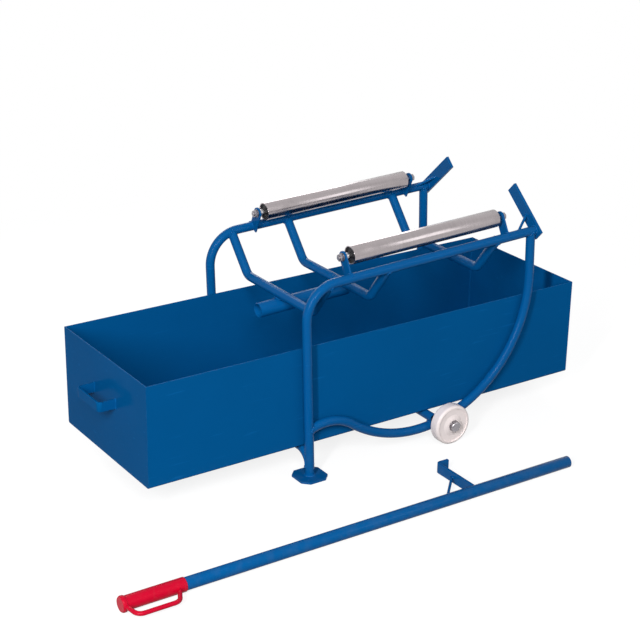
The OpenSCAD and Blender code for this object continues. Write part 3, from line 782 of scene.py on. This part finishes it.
def white_far_off(tree, near_shader):
    """Fades the floor's shader to flat white, further than a shadow reaches."""
    place = tree.nodes.new("ShaderNodeTexCoord").outputs["Object"]
    distance = tree.nodes.new("ShaderNodeVectorMath")
    distance.operation = "LENGTH"
    tree.links.new(place, distance.inputs[0])
    fade = tree.nodes.new("ShaderNodeMapRange")
    fade.interpolation_type = "SMOOTHSTEP"
    fade.inputs["From Min"].default_value = FADE_FROM
    fade.inputs["From Max"].default_value = FADE_TO
    tree.links.new(distance.outputs["Value"], fade.inputs["Value"])
    white = tree.nodes.new("ShaderNodeEmission")
    mix = tree.nodes.new("ShaderNodeMixShader")
    tree.links.new(fade.outputs["Result"], mix.inputs["Fac"])
    tree.links.new(near_shader, mix.inputs[1])
    tree.links.new(white.outputs["Emission"], mix.inputs[2])
    return mix.outputs["Shader"]


def make_floor():
    """A white floor that keeps a soft shadow, and lies just under the object."""
    material = bpy.data.materials.new("floor_white")
    material.use_nodes = True
    tree = material.node_tree
    tree.nodes.clear()
    output = tree.nodes.new("ShaderNodeOutputMaterial")
    plain = tree.nodes.new("ShaderNodeBsdfDiffuse")
    plain.inputs["Color"].default_value = FLOOR_GREY
    shadowed = tree.nodes.new("ShaderNodeBsdfDiffuse")
    shadowed.inputs["Color"].default_value = SHADOW_GREY
    glow = tree.nodes.new("ShaderNodeEmission")
    glow.inputs["Strength"].default_value = FLOOR_GLOW
    both = tree.nodes.new("ShaderNodeAddShader")
    tree.links.new(shadowed.outputs["BSDF"], both.inputs[0])
    tree.links.new(glow.outputs["Emission"], both.inputs[1])
    shown = white_far_off(tree, both.outputs["Shader"])
    white_for_camera(tree, plain.outputs["BSDF"], shown, output)

    mesh = bpy.data.meshes.new("floor")
    half = FLOOR_HALF
    corners = [(-half, -half, 0), (half, -half, 0), (half, half, 0), (-half, half, 0)]
    mesh.from_pydata(corners, [], [(0, 1, 2, 3)])
    mesh.materials.append(material)
    floor = bpy.data.objects.new("floor", mesh)
    floor.location.z = -FLOOR_DROP
    bpy.context.scene.collection.objects.link(floor)


def make_world():
    """Soft even light from all round, shown as white behind the object."""
    world = bpy.data.worlds.new("studio")
    bpy.context.scene.world = world
    world.use_nodes = True
    tree = world.node_tree
    tree.nodes.clear()
    output = tree.nodes.new("ShaderNodeOutputWorld")
    plain = tree.nodes.new("ShaderNodeBackground")
    plain.inputs["Color"].default_value = WHITE
    plain.inputs["Strength"].default_value = ROOM_LIGHT
    shown = tree.nodes.new("ShaderNodeBackground")
    shown.inputs["Color"].default_value = WHITE
    white_for_camera(tree, plain.outputs["Background"], shown.outputs["Background"], output)


def area_light(name, place, width, height, watts):
    """A rectangular soft light that faces the lit point."""
    data = bpy.data.lights.new(name, "AREA")
    data.shape = "RECTANGLE"
    data.size = width
    data.size_y = height
    data.energy = watts
    light = bpy.data.objects.new(name, data)
    light.location = place
    light.rotation_mode = "QUATERNION"
    light.rotation_quaternion = (LIT_POINT - Vector(place)).to_track_quat("-Z", "Y")
    bpy.context.scene.collection.objects.link(light)


def make_lights():
    """A narrow key light at the left, a large one high in front, a fill at the right and one behind."""
    area_light("key", (-4.2, -3.2, 2.8), width=0.4, height=2.8, watts=222)
    area_light("front", (-2.8, -5.0, 4.4), width=2.0, height=2.0, watts=198)
    area_light("fill", (2.6, -3.8, 2.4), width=2.4, height=2.4, watts=27)
    area_light("back", (1.6, 4.6, 2.8), width=3.2, height=3.2, watts=105)


def make_camera():
    """A camera at the photograph's viewing angle."""
    level_ahead = Vector((math.sin(CAMERA_YAW), math.cos(CAMERA_YAW), 0))
    level_right = Vector((math.cos(CAMERA_YAW), -math.sin(CAMERA_YAW), 0))
    ahead = math.cos(CAMERA_PITCH) * level_ahead - math.sin(CAMERA_PITCH) * Z
    upward = level_right.cross(ahead)
    right = math.cos(CAMERA_ROLL) * level_right + math.sin(CAMERA_ROLL) * upward
    up = math.cos(CAMERA_ROLL) * upward - math.sin(CAMERA_ROLL) * level_right
    data = bpy.data.cameras.new("camera")
    data.sensor_width = SENSOR_MM
    data.lens = LENS_MM
    camera = bpy.data.objects.new("camera", data)
    turn = Matrix((right, up, -ahead)).transposed().to_4x4()
    camera.matrix_world = Matrix.Translation(CAMERA_PLACE) @ turn
    bpy.context.scene.collection.objects.link(camera)
    bpy.context.scene.camera = camera


make_camera()
finishes = make_materials()
dress_nodes(finishes)
frame_seams(finishes["frame_blue"])
tray_seams(finishes["tray_blue"])
handle_seams(finishes["tray_blue"])
lever_seams(finishes["frame_blue"])
make_floor()
make_world()
make_lights()
bpy.context.scene.view_settings.view_transform = "Standard"
